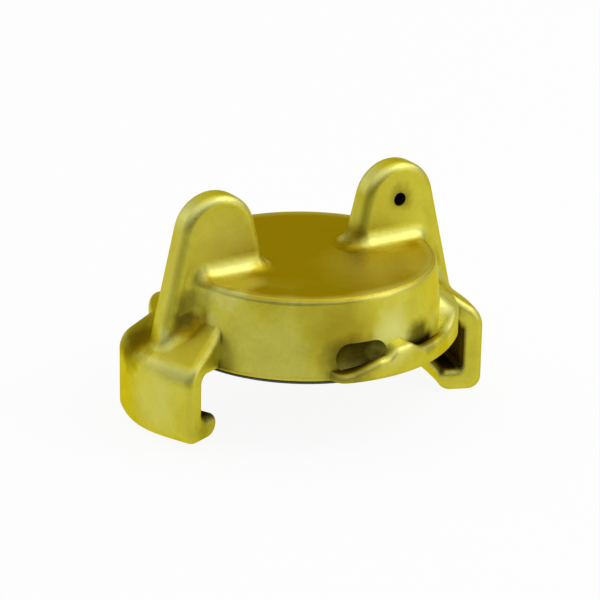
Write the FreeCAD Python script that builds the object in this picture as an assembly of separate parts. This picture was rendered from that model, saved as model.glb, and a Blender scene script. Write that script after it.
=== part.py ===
import FreeCAD, Part

import math
import os

os.makedirs("parts", exist_ok=True)

# Blanking cap for a two claw hose coupling.
# The brass cap is one hot forging: a shallow drum, two upright grip ears, two hooked claws
# that hang below the sealing face, and two ramp flanges that the claws of the other half ride up.
# A rubber ring is pressed into a groove in the sealing face.
# Lengths are millimetres and angles are degrees about the axis of the cap.
# Ears and claws lie along X, and the cap looks the same after half a turn, but for the chain hole.
# Heights are measured from the sealing face, and the finished shapes are lifted to stand at zero.

# Claws: the clear distance between their lips is what the couplings of this kind share.
# A lip is flat underneath where the ramp runs into its arm, and lifts towards its other, leading end.
claw_spacing = 40.0
lip_depth = 3.3
lip_thickness = 3.4
lip_nose = 1.2
lip_foot = 2.0
lip_throat = 0.8
lip_lift = 1.3
lift_start = -14.0
claw_wall = 3.25
claw_drop = 10.85
claw_span = 45.0
claw_corner = 2.0
claw_throat = 1.2
claw_edge = 1.2

# Arms that carry the claws: they leave the drum and fall outwards to a rounded shoulder
arm_root_height = 5.6
arm_fall = 0.72
arm_shoulder = 3.8

# Drum, closed at the top
face_inset = 0.1
face_bevel = 0.4
drum_height = 11.6
drum_draft = 1.2
drum_edge = 1.0

# Sealing ring and its groove, measured inwards from the edge of the face
seal_inset = 0.7
groove_inset = 3.7
groove_width = 2.8
groove_depth = 3.2
seal_lap = 1.0
seal_stand = 0.7
seal_bevel = 0.35

# Hollow under the drum, inside the sealing ring
hollow_clearance = 0.6
hollow_depth = 7.6
hollow_draft = 0.6
hollow_bevel = 1.2

# Ears: tapered plates with a round crown, blended into the drum and the arms
ear_thickness = 4.2
ear_inset = 1.4
ear_width = 17.8
ear_inner_lean = 0.27
ear_outer_lean = 0.245
ear_crown_radius = 5.82
ear_edge = 1.3
ear_blend = 2.6

# Chain hole in the crown of one ear
hole_radius = 1.0
hole_rise = 0.5
hole_shift = 0.3

# Ramp flanges, each from its blunt tip to the arm that it runs into
flange_reach = 1.9
flange_flare = 0.3
flange_rise = 0.2
flange_edge = 0.9
flange_bevel = 0.3
flange_tip = -110.0
flange_lap = 4.0
tip_height = 1.5
tip_span = 8.0
lead_start = -108.0
lead_span = 20.0
lead_height = 4.2

# Trough behind the rim of the ramp, the saddle that bridges it, and the sweep up into the arm
trough_depth = 2.2
trough_span = 24.0
saddle_angle = -81.0
saddle_reach = 8.5
saddle_blend = 6.0
saddle_height = 4.4
sweep_span = 20.0
sweep_flat = 14.0
post_drop = 0.3

# Relief in the drum wall over the lead-in
relief_start = -103.0
relief_end = -92.0
relief_radius = 2.6
relief_depth = 1.4
relief_height = 3.2

# How far forms run into each other so that they join, the pitch of the sections of ramps and lips,
# and how close two places are that count as the same
overlap = 2.0
section_pitch = 3.5
same_place = 0.001

lip_radius = claw_spacing / 2
wall_radius = lip_radius + lip_depth
claw_radius = wall_radius + claw_wall
face_radius = lip_radius - face_inset
root_radius = face_radius - overlap
flange_radius = face_radius + flange_reach
flange_start = flange_tip - section_pitch
flange_end = flange_lap - claw_span / 2
sweep_end = flange_end - sweep_flat
sweep_start = sweep_end - sweep_span
seal_outer_radius = face_radius - seal_inset
groove_outer_radius = face_radius - groove_inset
groove_inner_radius = groove_outer_radius - groove_width
seal_inner_radius = groove_inner_radius - seal_lap
hollow_radius = seal_inner_radius - hollow_clearance
ear_foot_outer = claw_radius - ear_inset
ear_foot_inner = ear_foot_outer - ear_width

axis = FreeCAD.Vector(0, 0, 1)
origin = FreeCAD.Vector(0, 0, 0)


def point(radius, height, angle=0.0):
    turn = math.radians(angle)
    return FreeCAD.Vector(radius * math.cos(turn), radius * math.sin(turn), height)


def rounded_wire(corners, angle=0.0):
    """Closed outline in a plane of the axis, from corners of radius, height and rounding.
    A negative rounding is a straight bevel of that length along both sides."""
    starts = []
    middles = []
    ends = []
    for i, (radius, height, rounding) in enumerate(corners):
        here = point(radius, height, angle)
        before = point(*corners[i - 1][:2], angle) - here
        after = point(*corners[(i + 1) % len(corners)][:2], angle) - here
        half = before.getAngle(after) / 2
        before.normalize()
        after.normalize()
        reach = rounding / math.tan(half) if rounding > 0 else -rounding
        bisector = before + after
        if bisector.Length > 0:
            bisector.normalize()
        starts.append(here + before * reach)
        middles.append(here + bisector * (rounding / math.sin(half) - rounding))
        ends.append(here + after * reach)
    edges = []
    for i, (radius, height, rounding) in enumerate(corners):
        if rounding > 0:
            edges.append(Part.Arc(starts[i], middles[i], ends[i]).toShape())
        elif rounding < 0:
            edges.append(Part.makeLine(starts[i], ends[i]))
        edges.append(Part.makeLine(ends[i], starts[(i + 1) % len(corners)]))
    return Part.Wire(edges)


def turned(corners, start=0.0, sweep=360.0):
    """Solid turned about the axis from a rounded outline."""
    return Part.Face(rounded_wire(corners, start)).revolve(origin, axis, sweep)


def lofted(section, start, end):
    """Solid through sections in planes of the axis, evenly spaced from one angle to another."""
    steps = round((end - start) / section_pitch)
    pitch = (end - start) / steps
    return Part.makeLoft([section(start + step * pitch) for step in range(steps + 1)], True, False)


def half_turn(shape):
    other = shape.copy()
    other.rotate(origin, axis, 180)
    return other


def middle_of(edge):
    return edge.valueAt((edge.FirstParameter + edge.LastParameter) / 2)


def touches(place, shape):
    return Part.Vertex(place).distToShape(shape.Shells[0])[0] < same_place


def ease(value):
    """Smooth step from nought to one."""
    held = min(max(value, 0.0), 1.0)
    return held * held * (3 - 2 * held)


def arm_height(radius):
    return arm_root_height - arm_fall * (radius - face_radius)


def drum():
    return turned([
        (0, drum_height, 0),
        (face_radius - drum_draft, drum_height, drum_edge),
        (face_radius, 0, -face_bevel),
        (groove_outer_radius, 0, 0),
        (groove_outer_radius, groove_depth, 0),
        (groove_inner_radius, groove_depth, 0),
        (groove_inner_radius, 0, 0),
        (hollow_radius, 0, 0),
        (hollow_radius - hollow_draft, hollow_depth, -hollow_bevel),
        (0, hollow_depth, 0),
    ])


def hook_outline(angle):
    """Section of an arm and its hook in one plane of the axis. The lip lifts towards the leading end."""
    lift = lip_lift * ease((angle - lift_start) / (claw_span / 2 - lift_start))
    foot = lift - claw_drop
    return rounded_wire([
        (root_radius, arm_height(root_radius), 0),
        (claw_radius, arm_height(claw_radius), arm_shoulder),
        (claw_radius, foot, claw_corner),
        (lip_radius, foot, lip_foot),
        (lip_radius, foot + lip_thickness, lip_nose),
        (wall_radius, foot + lip_thickness, lip_throat),
        (wall_radius, 0, claw_throat),
        (root_radius, 0, 0),
    ], angle)


def claw():
    """Arm and hook, turned where the lip is flat and lofted where it lifts, with rounded end edges."""
    flat = Part.Face(hook_outline(-claw_span / 2)).revolve(origin, axis, claw_span / 2 + lift_start)
    hook = flat.fuse(lofted(hook_outline, lift_start, claw_span / 2))
    rounded = []
    for edge in hook.Edges:
        middle = middle_of(edge)
        radius = math.hypot(middle.x, middle.y)
        turn = abs(math.degrees(math.atan2(middle.y, middle.x)))
        on_end_face = abs(turn - claw_span / 2) < same_place
        if on_end_face and radius > face_radius:
            rounded.append(edge)
    return hook.makeFillet(claw_edge, rounded)


def ear_apex():
    """Where the two leaning edges of the ear would meet, and the centre of the crown below it."""
    height = (ear_width + ear_inner_lean * drum_height) / (ear_inner_lean + ear_outer_lean)
    apex = FreeCAD.Vector(ear_foot_outer - ear_outer_lean * height, 0, height)
    inner = FreeCAD.Vector(-ear_inner_lean, 0, -1).normalize()
    outer = FreeCAD.Vector(ear_outer_lean, 0, -1).normalize()
    down = (inner + outer).normalize()
    return apex, apex + down * (ear_crown_radius / math.sin(inner.getAngle(outer) / 2))


def ear():
    """Plate with straight leaning edges that meet in a round crown, its outline edges rounded."""
    apex = ear_apex()[0]
    top_foot = drum_height - overlap
    arm_foot = arm_height(ear_foot_outer) - overlap / 2
    outline = rounded_wire([
        (ear_foot_inner - overlap * ear_inner_lean, top_foot, 0),
        (apex.x, apex.z, ear_crown_radius),
        (ear_foot_outer - arm_foot * ear_outer_lean, arm_foot, 0),
        (root_radius, arm_foot, 0),
        (root_radius, top_foot, 0),
    ])
    plate = Part.Face(outline).extrude(FreeCAD.Vector(0, ear_thickness, 0))
    plate.translate(FreeCAD.Vector(0, -ear_thickness / 2, 0))
    rounded = []
    for edge in plate.Edges:
        middle = middle_of(edge)
        on_side = abs(abs(middle.y) - ear_thickness / 2) < same_place
        leaning = edge.Vertexes[0].Z != edge.Vertexes[1].Z and middle.x != root_radius
        if on_side and leaning:
            rounded.append(edge)
    return plate.makeFillet(ear_edge, rounded)


def swept(angle):
    """How far the ramp has swept up from its own height to that of the arm."""
    return ease((angle - sweep_start) / sweep_span)


def rim_height(angle):
    """Height of the ramp along its outer rim: a lead-in that levels out, then the arm."""
    ramp = tip_height + (lead_height - tip_height) * ease((angle - lead_start) / lead_span)
    return ramp + (arm_height(flange_radius) - post_drop - ramp) * swept(angle)


def wall_height(angle, wall):
    """Height of the ramp where it meets the drum: sunk behind the rim, raised at the saddle."""
    low = rim_height(angle) - trough_depth * ease((angle - flange_tip) / trough_span)
    low += (saddle_height - low) * ease((saddle_reach - abs(angle - saddle_angle)) / saddle_blend)
    return low + (arm_height(wall) - post_drop - low) * swept(angle)


def flange_section(angle):
    """Section of the ramp in one plane of the axis, open to the drum on its inner side."""
    wall = face_radius - drum_draft / 2
    nose = min((angle - flange_start) / tip_span, 1.0)
    outer = face_radius - face_bevel * (1 - nose) + flange_reach * math.sin(math.pi / 2 * nose)
    outer += flange_flare * swept(angle)
    rim = rim_height(angle)
    root = wall_height(angle, wall)
    buried = root + (root - rim) * (wall - root_radius) / (flange_radius - wall)
    return rounded_wire([
        (root_radius, flange_rise, 0),
        (outer, flange_rise, -flange_bevel),
        (outer, rim, flange_edge),
        (root_radius, buried, 0),
    ], angle)


def relief():
    """Cutter for the rounded relief in the drum wall: a bent bar with ball ends."""
    centre = face_radius - relief_depth + relief_radius
    ends = [point(centre, relief_height, angle) for angle in (relief_start, relief_end)]
    circle = Part.makeCircle(relief_radius, ends[0], point(1, 0, relief_start + 90))
    bar = Part.Face(Part.Wire(circle)).revolve(origin, axis, relief_end - relief_start)
    return bar.fuse([Part.makeSphere(relief_radius, end) for end in ends])


def chain_hole():
    """Cutter for the chain hole, through the crown of the ear on the plus X side."""
    foot = ear_apex()[1] + FreeCAD.Vector(-hole_shift, -ear_thickness, hole_rise)
    return Part.makeCylinder(hole_radius, 2 * ear_thickness, foot, FreeCAD.Vector(0, 1, 0))


def cap_body():
    cutter = relief()
    forms = [claw(), lofted(flange_section, flange_start, flange_end)]
    base = drum().cut([cutter, half_turn(cutter)])
    base = base.fuse(forms + [half_turn(form) for form in forms]).removeSplitter()
    ears = [ear(), half_turn(ear())]
    body = base.fuse(ears).removeSplitter()
    seams = []
    for edge in body.Edges:
        middle = middle_of(edge)
        if touches(middle, base) and any(touches(middle, plate) for plate in ears):
            seams.append(edge)
    return body.makeFillet(ear_blend, seams).cut(chain_hole())


def sealing_ring():
    """Rubber ring: a head that covers the sealing face, on a stem that fills the groove."""
    return turned([
        (seal_inner_radius, 0, 0),
        (seal_inner_radius, -seal_stand, -seal_bevel),
        (seal_outer_radius, -seal_stand, -seal_bevel),
        (seal_outer_radius, 0, 0),
        (groove_outer_radius, 0, 0),
        (groove_outer_radius, groove_depth, 0),
        (groove_inner_radius, groove_depth, 0),
        (groove_inner_radius, 0, 0),
    ])


for name, shape in (("cap_body", cap_body()), ("sealing_ring", sealing_ring())):
    shape.translate(FreeCAD.Vector(0, 0, claw_drop))
    shape.exportStep(f"parts/{name}.step")
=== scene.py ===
import math

import bpy
from mathutils import Matrix, Vector

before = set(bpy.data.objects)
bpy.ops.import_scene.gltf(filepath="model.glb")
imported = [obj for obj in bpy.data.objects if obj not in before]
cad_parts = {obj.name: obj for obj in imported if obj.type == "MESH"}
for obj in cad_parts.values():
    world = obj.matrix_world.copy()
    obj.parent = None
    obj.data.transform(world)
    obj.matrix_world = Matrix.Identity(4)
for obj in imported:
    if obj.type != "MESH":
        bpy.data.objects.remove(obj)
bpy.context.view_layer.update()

# Camera, fitted to the outline of the cap in the photograph
CAMERA_TARGET = Vector((0, 0, 0.0068))
CAMERA_DISTANCE = 0.41440
CAMERA_AZIMUTH = -math.pi / 2 - 0.56550
CAMERA_ELEVATION = 0.38268
CAMERA_YAW = 0.00141
CAMERA_PITCH = 0.01919
CAMERA_ROLL = -0.01683
CAMERA_SIDE = (math.cos(CAMERA_AZIMUTH), math.sin(CAMERA_AZIMUTH), 0)
SENSOR_MM = 36
LENS_MM = 173.16

# Lamps: azimuth and elevation in degrees, distance, width and height in metres, and brightness
LAMPS = {
    "key": (92, 46, 0.7, 0.6, 0.5, 1.6),
    "right": (70, 12, 0.8, 0.30, 0.30, 1.9),
    "left": (-112, 18, 0.8, 0.35, 0.36, 0.9),
}

# Room: upward share of a direction between which it turns from dim to bright
ROOM_RISE = (0.3, 0.95)
ROOM_DIM = 0.56
ROOM_BRIGHT = 1.40
# Dark sector of the room on the camera's side, by share of a direction towards the camera and upwards
SECTOR_TOWARDS = (0.35, 0.8)
SECTOR_UPWARDS = (0.35, 0.6)
SECTOR_LEFT_OVER = 0.2

# Floor, and the range in front of the cap over which its reflection dims
FLOOR_HALF = 1.5
FLOOR_GLOW = 0.92
FLOOR_DARKER = (0.80, 0.80, 0.80)
FLOOR_LIGHTER = (0.83, 0.83, 0.83)
FLOOR_PATCH = 0.08
FLOOR_ENDS = (0.12, 0.28)
BEYOND_FLOOR = 0.85

# Colours are linear
BRASS = (0.63, 0.585, 0.055)
# Brown: random oxide tone, and also painted shade on level faces, edges, the drum's rim and marks
BRASS_BROWN = (0.37, 0.26, 0.008)
# Colour of the painted shade in corners, hollows and the hooks
BRASS_SHADED = (0.048, 0.029, 0.004)
BRASS_EDGE_ON = (1, 0.85, 0.2, 1)
# Colour of the painted highlights
BRASS_HIGHLIGHT = (0.66, 0.65, 0.19)
RUBBER = (0.012, 0.012, 0.012)
RUBBER_DUSTY = (0.035, 0.034, 0.031)
WHITE = (1, 1, 1, 1)

# Sizes and depths of the unevenness of a surface, in metres
BROAD_SIZE = 0.014
BROAD_DEPTH = 0.0006
MOTTLE_SIZE = 0.0035
MOTTLE_DEPTH = 0.00012
GRAIN_SIZE = 0.0005
GRAIN_DEPTH = 0.00003
BLOOM_SIZE = 0.004
RUBBER_GRAIN_SIZE = 0.0003
RUBBER_GRAIN_DEPTH = 0.00003

# How far a corner or an edge is felt, in metres
CREASE_REACH = 0.0030
CORNER_REACH = 0.0060
HOLLOW_REACH = 0.0120
EDGE_REACH = 0.0011

# Amounts of nearness between which a mask comes in
CREASE_SHARPNESS = (0.22, 0.42)
CORNER_SHARPNESS = (0.14, 0.30)
HOLLOW_SHARPNESS = (0.38, 0.62)
WORN_SHADED_EDGE_SHARPNESS = (0.12, 0.40)
ROUND_EDGE_SHARPNESS = (0.12, 0.50)

# Values of a noise between which what depends on it changes
BROAD_CHANGE = (0.35, 0.65)
MOTTLE_CHANGE = (0.35, 0.75)
GRAIN_CHANGE = (0.30, 0.70)
BLOOM_CHANGE = (0.40, 0.75)
BLOOM_ROUGH_CHANGE = (0.30, 0.70)

# What each mask comes to at its least and most, or at its most
PATCH_BROWN = (0.05, 0.40)
EDGE_WEAR_AND_SHADE = (0.9, 0.2)
RIM_SHADE = 0.9
SLOPE_HIGHLIGHT = 0.8
MARGIN_HIGHLIGHT = 0.5
EDGE_HIGHLIGHT = 0.9
CORNER_SHADE = 0.35
LIP_DARKNESS = 0.4

# Amounts of painted highlight between which the painted shade goes
HIGHLIGHT_CLEARS_SHADE = (0.2, 0.8)

# Roughness of brass and rubber, what the painted shade and wear add to it, and the strengths of the relief
BRASS_ROUGHNESS = (0.36, 0.50)
PAINTED_SHADE_ROUGHNESS = 0.2
WEAR_ROUGHNESS = 0.12
RUBBER_ROUGHNESS = (0.5, 0.7)
BROAD_STRENGTH = 0.25
MOTTLE_STRENGTH = 0.3
GRAIN_STRENGTH = 0.5
RUBBER_GRAIN_STRENGTH = 0.4

# Heights and radii between which a mask comes in or fades out, in metres
LIP_TOP_HEIGHTS = (0.0060, 0.0075)
HOOK_TOP_HEIGHTS = (0.0095, 0.0110)
WALL_TOP_HEIGHTS = (0.0205, 0.0222)
RIM_LOW_HEIGHTS = (0.0213, 0.0217)
RIM_HIGH_HEIGHTS = (0.0221, 0.0225)
DRUM_TOP_HEIGHTS = (0.0222, 0.0224)
EAR_BLEND_HEIGHTS = (0.0222, 0.0226)
EAR_START_HEIGHTS = (0.0224, 0.0228)
EAR_FOOT_HEIGHTS = (0.0240, 0.0260)
TOP_MARGIN_RADII = (0.0162, 0.0176)
RIM_INNER_RADII = (0.0172, 0.0180)
RIM_OUTER_RADII = (0.0186, 0.0188)
HOOK_WALL_RADII = (0.0212, 0.0220)

# Upward share of the normal between which a mask comes in or fades out, and outward share for the hooks
OFF_UPRIGHT = (0.15, 0.40)
NEAR_UPRIGHT = (0.20, 0.60)
BLEND_LOWER = (0.30, 0.50)
BLEND_UPPER = (0.75, 0.95)
LIP_LEVEL = (0.40, 0.70)
NEAR_LEVEL = (0.60, 0.78)
LEVEL = (0.70, 0.95)
QUITE_LEVEL = (0.90, 0.97)
FACING_AXIS = (-0.7, -0.3)

# Marks on this cap: centre and reach in metres, and amount. The inner share of the reach has the full amount
MARK_CORE = 0.3
MARK_RAGGEDNESS = (0.004, 0.004, 0.004)
MARK_RAGGED_SCALE = 300.0
# Painted shade: brown marks that darken spots and dim highlights
PAINTED_SHADE_MARKS = {
    "drum wall above the relief": ((-0.0052, -0.0184, 0.0175), 0.0070, 0.7),
    "left arm behind the ear": ((-0.0246, 0.0037, 0.0134), 0.0055, 1.0),
    "left arm in front of the ear": ((-0.0206, -0.0037, 0.0162), 0.0036, 1.0),
    "left ear at the drum rim": ((-0.0178, -0.0040, 0.0226), 0.0024, 0.7),
    "left ear, inner end of the foot": ((-0.0084, -0.0028, 0.0231), 0.0026, 0.9),
    "right ear, inner end of the foot": ((0.0076, -0.0010, 0.0232), 0.0030, 0.9),
    "left arm, front end of the top": ((-0.0212, -0.0080, 0.0142), 0.0035, 0.4),
    "left claw, front end of the outside": ((-0.0246, -0.0097, 0.0050), 0.0050, 0.2),
    "right ear round the hole": ((0.0130, -0.0021, 0.0280), 0.0080, 0.3),
    "drum rim, front left": ((-0.0135, -0.0125, 0.0223), 0.0045, 0.35),
    "drum rim, front middle": ((-0.0085, -0.0163, 0.0222), 0.0055, 0.35),
    "drum rim, front right": ((0.0075, -0.0160, 0.0224), 0.0045, 0.2),
    "flange rim beyond the saddle": ((0.0115, -0.0186, 0.0125), 0.0040, 0.35),
    "right ear, inner edge": ((0.0098, -0.0010, 0.0298), 0.0040, 0.35),
}
# Painted shadows: dark marks in the relief, the trough, the corner by the left ear, the lip's end and the
# chain hole
PAINTED_SHADOW_MARKS = {
    "relief, left end": ((-0.0041, -0.0182, 0.0131), 0.0050, 0.75),
    "relief, right half": ((-0.0020, -0.0185, 0.0138), 0.0028, 0.65),
    "wall behind the trough": ((0.0072, -0.0181, 0.0146), 0.0032, 0.75),
    "left arm behind the ear": ((-0.0248, 0.0048, 0.0132), 0.0055, 0.60),
    "corner of the left ear and the wall": ((-0.0202, -0.0025, 0.0200), 0.0026, 0.5),
    "lower end of that corner": ((-0.0203, -0.0025, 0.0176), 0.0024, 0.6),
    "left lip, end face": ((-0.0214, -0.0089, 0.0031), 0.0030, 0.3),
    "right ear, inner end of the foot": ((0.0074, -0.0002, 0.0235), 0.0030, 0.4),
    "mouth of the chain hole": ((0.0148, -0.0021, 0.0289), 0.0024, 0.4),
}
# Painted highlights: paler marks that brighten spots and clear the painted shade
PAINTED_HIGHLIGHT_MARKS = {
    "wall above the saddle": ((0.0017, -0.0194, 0.0163), 0.0050, 1.0),
    "wall above the sweep": ((0.0152, -0.0124, 0.0155), 0.0052, 1.0),
    "start of the sweep": ((0.0128, -0.0152, 0.0140), 0.0045, 1.0),
    "flange end beside the right arm": ((0.0180, -0.0098, 0.0160), 0.0036, 0.9),
    "left claw, middle of the outside": ((-0.0262, -0.0030, 0.0070), 0.0080, 0.5),
    "drum top, front right": ((0.0090, -0.0110, 0.0225), 0.0130, 0.35),
    "drum top in front of the left ear": ((-0.0144, -0.0060, 0.0225), 0.0045, 0.6),
    "drum top in front of the right ear": ((0.0115, -0.0042, 0.0226), 0.0040, 0.6),
    "wall beside the left arm": ((-0.0181, -0.0075, 0.0138), 0.0030, 0.7),
    "left ear, front face near its foot": ((-0.0143, -0.0021, 0.0262), 0.0070, 0.3),
    "wall, front left": ((-0.0135, -0.0140, 0.0150), 0.0120, 0.3),
    "left ear, outer end of the foot": ((-0.0234, -0.0022, 0.0148), 0.0022, 0.8),
    "root of the left arm": ((-0.0192, -0.0052, 0.0170), 0.0026, 0.7),
    "drum rim beside the left ear": ((-0.0175, -0.0052, 0.0221), 0.0034, 0.9),
    "drum rim, far left": ((-0.0163, -0.0084, 0.0222), 0.0030, 0.7),
}


class Nodes:
    """The node tree of a material or world, built up one node at a time."""

    def __init__(self, owner, output="ShaderNodeOutputMaterial"):
        owner.use_nodes = True
        self.tree = owner.node_tree
        self.tree.nodes.clear()
        self.output = self.add(output)

    def add(self, kind, settings=None, **inputs):
        """Adds a node. Inputs are numbers, colours or the outputs of other nodes."""
        node = self.tree.nodes.new(kind)
        for key, value in (settings or {}).items():
            setattr(node, key, value)
        for key, value in inputs.items():
            self.feed(node, key.replace("_", " "), value)
        return node

    def feed(self, node, name, value):
        """Links an output to an input, or sets the input's own value. A name of digits is an index."""
        socket = node.inputs[int(name)] if name.isdigit() else node.inputs[name]
        if isinstance(value, bpy.types.NodeSocket):
            self.tree.links.new(value, socket)
        else:
            socket.default_value = value

    def noise(self, size, detail=3, roughness=0.55, distortion=0.0):
        """Noise whose features are about size metres across, from 0 to 1."""
        place = self.add("ShaderNodeTexCoord")
        node = self.add(
            "ShaderNodeTexNoise", Vector=place.outputs["Object"], Scale=1 / size,
            Detail=detail, Roughness=roughness, Distortion=distortion,
        )
        return node.outputs["Fac"]

    def span(self, value, low, high, to_low, to_high):
        """Maps value from low..high to to_low..to_high, held at both ends."""
        node = self.add("ShaderNodeMapRange", {"clamp": True}, Value=value)
        for key, number in (("From Min", low), ("From Max", high), ("To Min", to_low), ("To Max", to_high)):
            node.inputs[key].default_value = number
        return node.outputs["Result"]

    def rising(self, value, low, high, most=1.0):
        """0 up to low, then more and more up to high."""
        return self.span(value, low, high, 0.0, most)

    def falling(self, value, low, high, most=1.0):
        """The most up to low, then less and less down to 0 at high."""
        return self.span(value, low, high, most, 0.0)

    def math(self, operation, first, second):
        node = self.add("ShaderNodeMath", {"operation": operation})
        self.feed(node, "0", first)
        self.feed(node, "1", second)
        return node.outputs[0]

    def times(self, first, *others):
        """Product of masks or numbers."""
        for other in others:
            first = self.math("MULTIPLY", first, other)
        return first

    def largest(self, first, *others):
        for other in others:
            first = self.math("MAXIMUM", first, other)
        return first

    def vector(self, operation, output, *values):
        node = self.add("ShaderNodeVectorMath", {"operation": operation})
        for index, value in enumerate(values):
            self.feed(node, str(index), value)
        return node.outputs[output]

    def marks(self, place, spots):
        """Soft spots with uneven outlines at given places on the part."""
        amount = 0.0
        ragged = self.add("ShaderNodeTexNoise", Vector=place, Scale=MARK_RAGGED_SCALE, Detail=3.0)
        ragged = self.vector("SUBTRACT", "Vector", ragged.outputs["Color"], (0.5, 0.5, 0.5))
        place = self.vector("MULTIPLY_ADD", "Vector", ragged, MARK_RAGGEDNESS, place)
        for centre, reach, most in spots.values():
            distance = self.vector("DISTANCE", "Value", place, centre)
            amount = self.largest(amount, self.falling(distance, MARK_CORE * reach, reach, most))
        return amount

    def mix(self, amount, first, second):
        """Blend of two colours."""
        node = self.add("ShaderNodeMix", {"data_type": "RGBA"})
        self.feed(node, "0", amount)
        for index, colour in ((6, first), (7, second)):
            if isinstance(colour, tuple):
                colour = (*colour[:3], 1)
            self.feed(node, str(index), colour)
        return node.outputs[2]

    def blend(self, amount, first, second):
        """Blend of two shaders."""
        node = self.add("ShaderNodeMixShader")
        self.feed(node, "0", amount)
        self.feed(node, "1", first)
        self.feed(node, "2", second)
        return node.outputs["Shader"]

    def nearness(self, distance, inside=False):
        """1 in corners, or on outer edges where inside is True, and 0 on open faces."""
        node = self.add("ShaderNodeAmbientOcclusion", {"samples": 8, "inside": inside, "only_local": True})
        node.inputs["Distance"].default_value = distance
        return self.math("SUBTRACT", 1.0, node.outputs["AO"])

    def bump(self, height, distance, strength, below=None):
        """Normal with a relief, on top of the relief below it if there is one."""
        node = self.add("ShaderNodeBump", Height=height, Distance=distance, Strength=strength)
        if below is not None:
            self.feed(node, "Normal", below)
        return node.outputs["Normal"]

    def finish(self, shader):
        self.tree.links.new(shader, self.output.inputs["Surface"])


class Surface:
    """Where a point of the cap lies and which way it faces."""

    def __init__(self, m):
        geometry = m.add("ShaderNodeNewGeometry")
        normal = geometry.outputs["Normal"]
        self.place = geometry.outputs["Position"]
        position = m.add("ShaderNodeSeparateXYZ", Vector=self.place)
        level = m.add("ShaderNodeCombineXYZ", X=position.outputs["X"], Y=position.outputs["Y"]).outputs[0]
        self.height = position.outputs["Z"]
        self.radius = m.vector("LENGTH", "Value", level)
        self.upward = m.add("ShaderNodeSeparateXYZ", Vector=normal).outputs["Z"]
        self.facing_out = m.vector("DOT_PRODUCT", "Value", normal, m.vector("NORMALIZE", "Vector", level))
        self.edge = m.nearness(EDGE_REACH, inside=True)


def brown_amount(m, at, mottle, edge_wear_and_shade, shade_marks):
    """Brown: random oxide patches, and painted shade on level faces, on worn edges, round the drum's rim and
    in its marks.
    """
    # Painted shade: level faces turn browner, as if they reflect a dark surround
    level = m.times(m.rising(at.upward, *LEVEL), m.falling(at.height, *EAR_FOOT_HEIGHTS))
    patches = m.span(mottle, *MOTTLE_CHANGE, *PATCH_BROWN)
    # Painted shade on worn edges dims their highlights
    edges = m.times(edge_wear_and_shade, m.falling(at.height, *EAR_START_HEIGHTS))
    # Painted shade round the drum's rim dims its highlight
    rim = m.times(
        m.rising(at.radius, *RIM_INNER_RADII), m.rising(at.height, *RIM_LOW_HEIGHTS),
        m.falling(at.radius, *RIM_OUTER_RADII), m.falling(at.height, *RIM_HIGH_HEIGHTS, RIM_SHADE),
    )
    return m.largest(level, patches, edges, rim, shade_marks)


def rubbed_amount(m, at, broad, highlight_marks, shade_marks):
    """Painted highlight: paler metal on slopes, foot blends, the drum top's margin, round edges and marks,
    less the painted shade marks.
    """
    # Painted highlights where surfaces face the bright overhead light
    slopes = m.times(m.rising(at.upward, *OFF_UPRIGHT), m.falling(at.upward, *NEAR_LEVEL), SLOPE_HIGHLIGHT)
    blends = m.times(
        m.rising(at.upward, *BLEND_LOWER), m.falling(at.upward, *BLEND_UPPER),
        m.rising(at.height, *EAR_BLEND_HEIGHTS),
    )
    margin = m.times(
        m.rising(at.height, *DRUM_TOP_HEIGHTS), m.rising(at.upward, *QUITE_LEVEL),
        m.rising(at.radius, *TOP_MARGIN_RADII, MARGIN_HIGHLIGHT),
    )
    edges = m.times(
        m.rising(at.edge, *ROUND_EDGE_SHARPNESS), m.rising(broad, *BROAD_CHANGE, EDGE_HIGHLIGHT),
        m.rising(at.upward, *OFF_UPRIGHT),
    )
    amount = m.math("SUBTRACT", m.largest(slopes, blends, margin, edges, highlight_marks), shade_marks)
    return m.rising(amount, 0.0, 1.0)


def soot_amount(m, at, highlight_marks):
    """Painted shade: darker in creases, corners and hollows away from the painted highlights, and in its
    marks.
    """
    low = m.falling(at.height, *WALL_TOP_HEIGHTS)
    creases = m.times(m.rising(m.nearness(CREASE_REACH), *CREASE_SHARPNESS), low)
    corners = m.times(
        m.rising(m.nearness(CORNER_REACH), *CORNER_SHARPNESS, CORNER_SHADE),
        m.falling(at.upward, *NEAR_UPRIGHT), low,
    )
    # Painted shade in creases, corners and hollows
    hollows = m.rising(m.nearness(HOLLOW_REACH), *HOLLOW_SHARPNESS)
    painted_shade = m.times(m.largest(creases, corners, hollows), m.falling(highlight_marks, *HIGHLIGHT_CLEARS_SHADE))
    return m.largest(painted_shade, m.marks(at.place, PAINTED_SHADOW_MARKS))


def hook_amount(m, at):
    """Painted shade inside the hooks: the wall that faces the axis, and less of it on the top of the lip."""
    wall = m.times(m.falling(at.facing_out, *FACING_AXIS), m.rising(at.radius, *HOOK_WALL_RADII))
    lip = m.times(m.rising(at.upward, *LIP_LEVEL, LIP_DARKNESS), m.falling(at.height, *LIP_TOP_HEIGHTS))
    return m.times(m.largest(wall, lip), m.falling(at.height, *HOOK_TOP_HEIGHTS))


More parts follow.
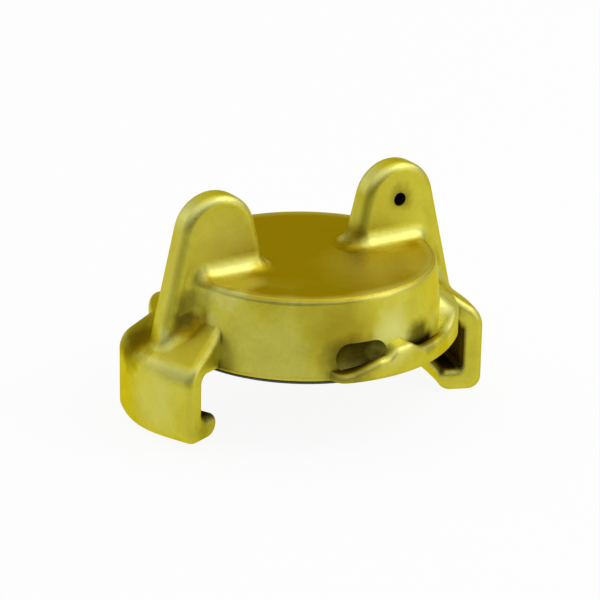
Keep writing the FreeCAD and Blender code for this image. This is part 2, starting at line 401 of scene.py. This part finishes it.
def brass():
    """Hot forged brass, tumbled, with painted shade: browner on top and dark in the hollows, and painted
    highlights paler on the round parts.
    """
    material = bpy.data.materials.new("forged_brass")
    m = Nodes(material)
    at = Surface(m)
    broad = m.noise(BROAD_SIZE, detail=2)
    mottle = m.noise(MOTTLE_SIZE, detail=4, roughness=0.6, distortion=0.4)
    grain = m.noise(GRAIN_SIZE, detail=5, roughness=0.65)
    # Worn edges: rougher, and painted browner to dim their highlights
    edge_wear_and_shade = m.times(m.rising(at.edge, *WORN_SHADED_EDGE_SHARPNESS), m.span(broad, *BROAD_CHANGE, *EDGE_WEAR_AND_SHADE))
    shade_marks = m.marks(at.place, PAINTED_SHADE_MARKS)
    highlight_marks = m.marks(at.place, PAINTED_HIGHLIGHT_MARKS)
    painted_shade = soot_amount(m, at, highlight_marks)

    # Base colour: brown tone with painted shade, then painted highlights, then painted shade in hollows and
    # hooks
    colour = m.mix(brown_amount(m, at, mottle, edge_wear_and_shade, shade_marks), BRASS, BRASS_BROWN)
    colour = m.mix(rubbed_amount(m, at, broad, highlight_marks, shade_marks), colour, BRASS_HIGHLIGHT)
    colour = m.mix(m.largest(painted_shade, hook_amount(m, at)), colour, BRASS_SHADED)

    rough = m.span(grain, *GRAIN_CHANGE, *BRASS_ROUGHNESS)
    rough = m.math("ADD", rough, m.times(painted_shade, PAINTED_SHADE_ROUGHNESS))
    rough = m.math("ADD", rough, m.times(edge_wear_and_shade, WEAR_ROUGHNESS))
    relief = m.bump(broad, BROAD_DEPTH, BROAD_STRENGTH)
    relief = m.bump(mottle, MOTTLE_DEPTH, MOTTLE_STRENGTH, relief)
    relief = m.bump(grain, GRAIN_DEPTH, GRAIN_STRENGTH, relief)
    # Painted shade also darkens the tint of the reflections
    shader = m.add(
        "ShaderNodeBsdfPrincipled", Base_Color=colour, Metallic=1.0, Roughness=rough, Normal=relief,
        Specular_Tint=m.mix(painted_shade, BRASS_EDGE_ON, BRASS_SHADED),
    )
    m.finish(shader.outputs["BSDF"])
    return material


def rubber():
    """Moulded black rubber with a dusty bloom and a fine grain."""
    material = bpy.data.materials.new("moulded_rubber")
    m = Nodes(material)
    bloom = m.noise(BLOOM_SIZE, detail=4)
    grain = m.noise(RUBBER_GRAIN_SIZE, detail=3)
    shader = m.add(
        "ShaderNodeBsdfPrincipled",
        Base_Color=m.mix(m.rising(bloom, *BLOOM_CHANGE), RUBBER, RUBBER_DUSTY),
        Roughness=m.span(bloom, *BLOOM_ROUGH_CHANGE, *RUBBER_ROUGHNESS),
        Normal=m.bump(grain, RUBBER_GRAIN_DEPTH, RUBBER_GRAIN_STRENGTH),
    )
    m.finish(shader.outputs["BSDF"])
    return material


def floor_paint():
    """Pale floor with a faint shadow, white to the camera and, up to where it ends in front, to the metal."""
    material = bpy.data.materials.new("pale_floor")
    m = Nodes(material)
    rays = m.add("ShaderNodeLightPath").outputs
    seen = m.largest(rays["Is Camera Ray"], rays["Is Glossy Ray"], rays["Is Transmission Ray"])
    patches = m.mix(m.noise(FLOOR_PATCH, detail=2), FLOOR_DARKER, FLOOR_LIGHTER)
    matt = m.add("ShaderNodeBsdfDiffuse", Color=patches).outputs["BSDF"]
    glow = m.add("ShaderNodeEmission", Color=WHITE, Strength=1.0).outputs["Emission"]
    near = m.blend(m.times(seen, FLOOR_GLOW), matt, glow)
    place = m.add("ShaderNodeNewGeometry").outputs["Position"]
    beyond = m.rising(m.vector("DOT_PRODUCT", "Value", place, CAMERA_SIDE), *FLOOR_ENDS)
    dimmer = m.add("ShaderNodeEmission", Color=WHITE, Strength=BEYOND_FLOOR).outputs["Emission"]
    m.finish(m.blend(m.times(beyond, rays["Is Glossy Ray"]), near, dimmer))
    return material


def add_floor():
    far = FLOOR_HALF
    corners = [(-far, -far, 0), (far, -far, 0), (far, far, 0), (-far, far, 0)]
    mesh = bpy.data.meshes.new("floor")
    mesh.from_pydata(corners, [], [(0, 1, 2, 3)])
    floor = bpy.data.objects.new("floor", mesh)
    bpy.context.collection.objects.link(floor)
    mesh.materials.append(floor_paint())


def heading(azimuth, elevation):
    """Direction from the cap, with both angles in radians."""
    level = math.cos(elevation)
    return Vector((math.cos(azimuth) * level, math.sin(azimuth) * level, math.sin(elevation)))


def add_camera():
    outward = heading(CAMERA_AZIMUTH, CAMERA_ELEVATION)
    forward = -outward
    up = Vector((0, 0, 1))
    right = forward.cross(up).normalized()
    yaw = Matrix.Rotation(CAMERA_YAW, 3, up)
    forward = yaw @ forward
    right = yaw @ right
    forward = Matrix.Rotation(CAMERA_PITCH, 3, right) @ forward
    up = right.cross(forward)
    cosine = math.cos(CAMERA_ROLL)
    sine = math.sin(CAMERA_ROLL)
    image_right = right * cosine - up * sine
    image_up = right * sine + up * cosine
    data = bpy.data.cameras.new("camera")
    data.sensor_width = SENSOR_MM
    data.lens = LENS_MM
    camera = bpy.data.objects.new("camera", data)
    bpy.context.collection.objects.link(camera)
    turn = Matrix((image_right, image_up, -forward)).transposed()
    camera.matrix_world = Matrix.Translation(CAMERA_TARGET + outward * CAMERA_DISTANCE) @ turn.to_4x4()
    bpy.context.scene.camera = camera


def add_softbox(name, azimuth, elevation, distance, width, height, brightness):
    """Area lamp that faces the cap. Azimuth is measured from the camera's side, anticlockwise from above,
    and brightness is that of its face, where 1 is white."""
    direction = heading(CAMERA_AZIMUTH + math.radians(azimuth), math.radians(elevation))
    data = bpy.data.lights.new(name, "AREA")
    data.shape = "RECTANGLE"
    data.size = width
    data.size_y = height
    data.energy = brightness * math.pi * width * height
    lamp = bpy.data.objects.new(name, data)
    bpy.context.collection.objects.link(lamp)
    lamp.location = CAMERA_TARGET + direction * distance
    lamp.rotation_euler = direction.to_track_quat("Z", "Y").to_euler()


def add_world():
    """Studio room: bright overhead, dim at the horizon and dark on the camera's side."""
    world = bpy.data.worlds.new("studio")
    m = Nodes(world, "ShaderNodeOutputWorld")
    direction = m.add("ShaderNodeTexCoord").outputs["Generated"]
    upward = m.add("ShaderNodeSeparateXYZ", Vector=direction).outputs["Z"]
    towards = m.vector("DOT_PRODUCT", "Value", direction, CAMERA_SIDE)
    sector = m.times(m.rising(towards, *SECTOR_TOWARDS), m.falling(upward, *SECTOR_UPWARDS))
    light = m.span(upward, *ROOM_RISE, ROOM_DIM, ROOM_BRIGHT)
    light = m.times(light, m.span(sector, 0.0, 1.0, 1.0, SECTOR_LEFT_OVER))
    shader = m.add("ShaderNodeBackground", Strength=light)
    m.finish(shader.outputs["Background"])
    bpy.context.scene.world = world


def paint(node, material):
    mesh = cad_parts[node].data
    mesh.materials.clear()
    mesh.materials.append(material)


paint("cap_body", brass())
paint("sealing_ring", rubber())
add_floor()
add_world()
add_camera()
for lamp_name, lamp in LAMPS.items():
    add_softbox(lamp_name, *lamp)
bpy.context.scene.view_settings.view_transform = "Standard"
